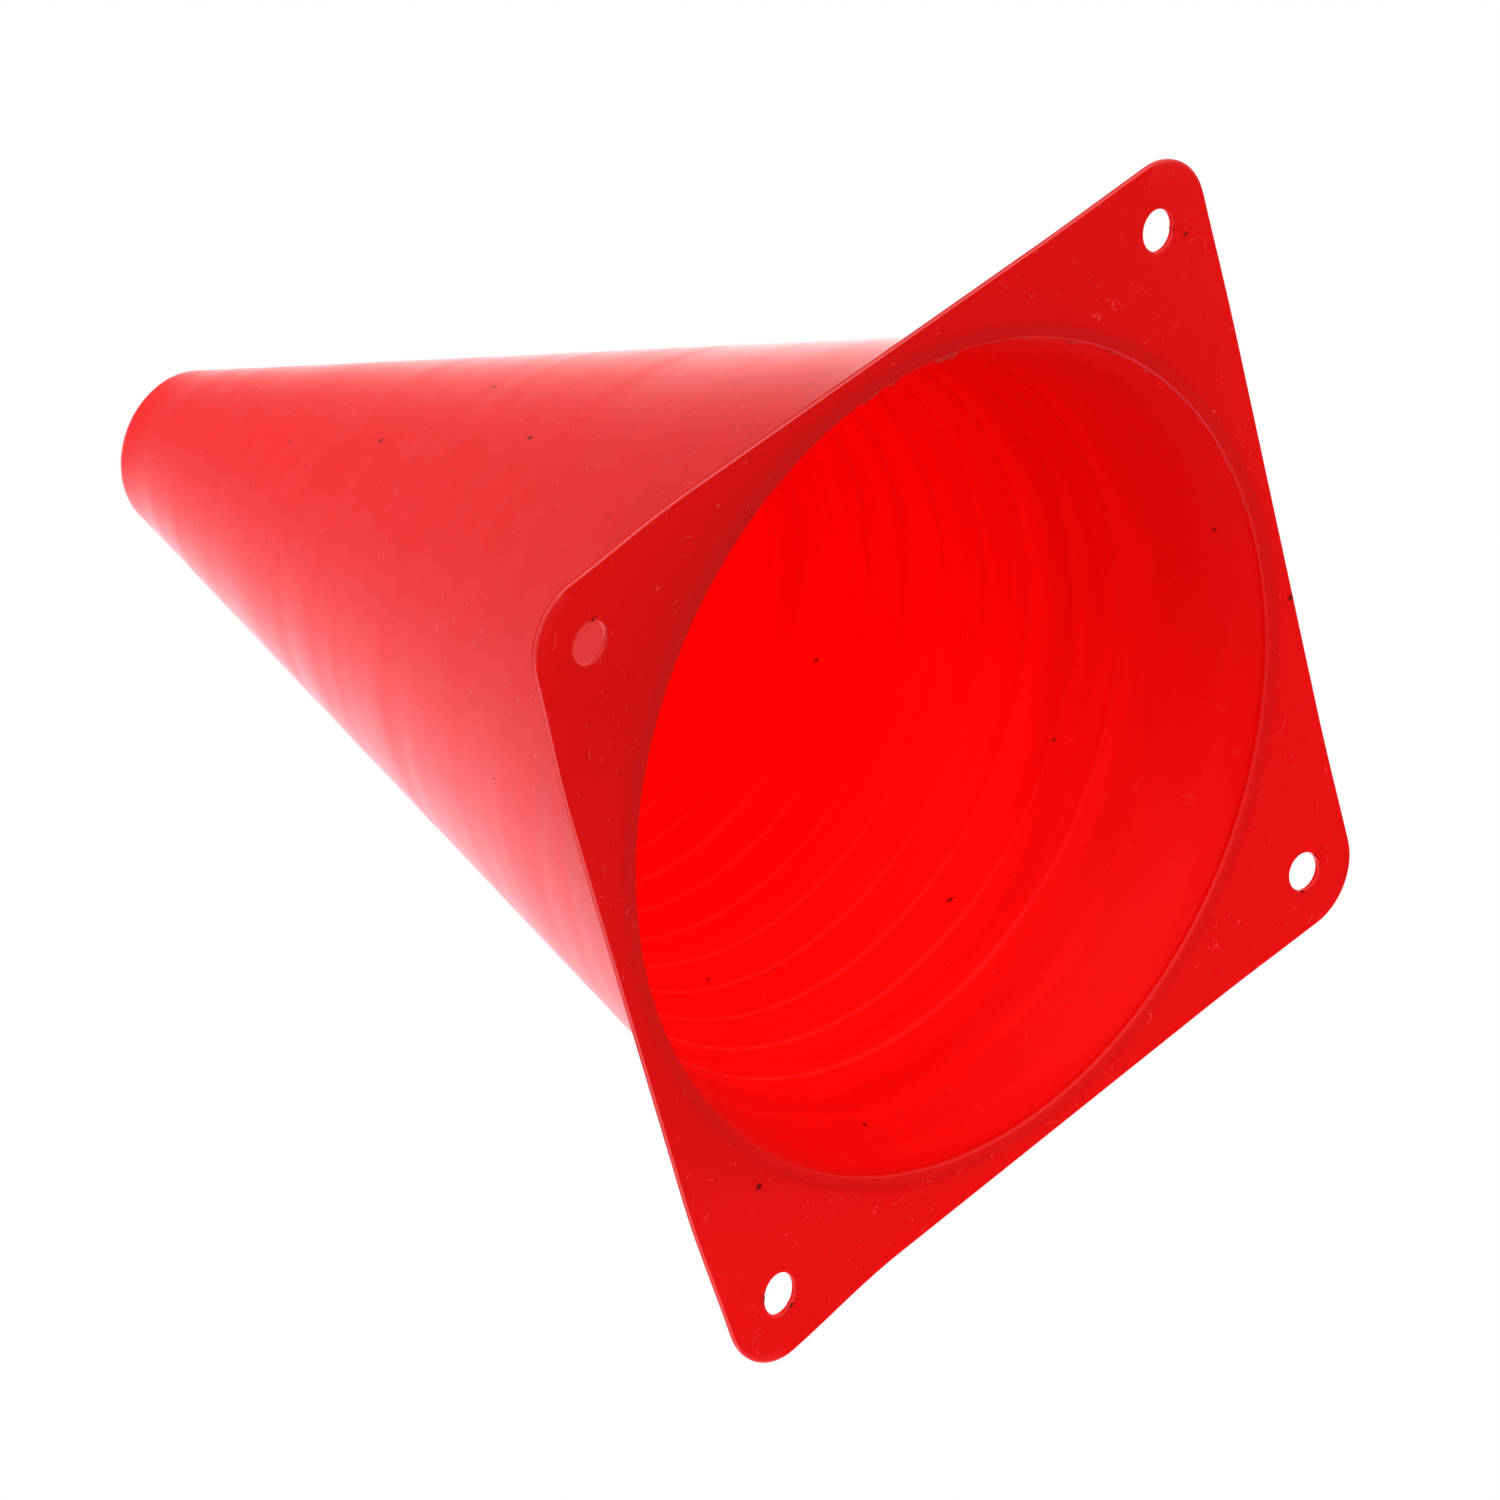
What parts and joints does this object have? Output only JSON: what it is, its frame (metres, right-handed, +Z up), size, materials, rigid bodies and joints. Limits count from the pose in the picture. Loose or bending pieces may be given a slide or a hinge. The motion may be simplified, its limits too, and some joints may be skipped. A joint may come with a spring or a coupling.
{
  "type": "traffic cone",
  "caption": "Small thin-walled plastic marker cone: a hollow tapered shell with a flat top, on a thin square flange with rounded corners and a peg hole near each corner.",
  "frame": {"origin": "middle of the flange's underside, on the cone's axis", "axes": "+Z up the cone's axis from the flange to the tip, +X and +Y square to the flange's sides"},
  "size_m": [0.14, 0.14, 0.192],
  "materials": {
    "flange_polyethylene": "satin, slightly translucent red polyethylene as moulded",
    "shell_polyethylene": "satin, translucent red polyethylene as moulded, with faint turning rings inside"
  },
  "bodies": {
    "root": {"base_flange": "flange_polyethylene", "cone_shell": "shell_polyethylene"}
  },
  "joints": []
}
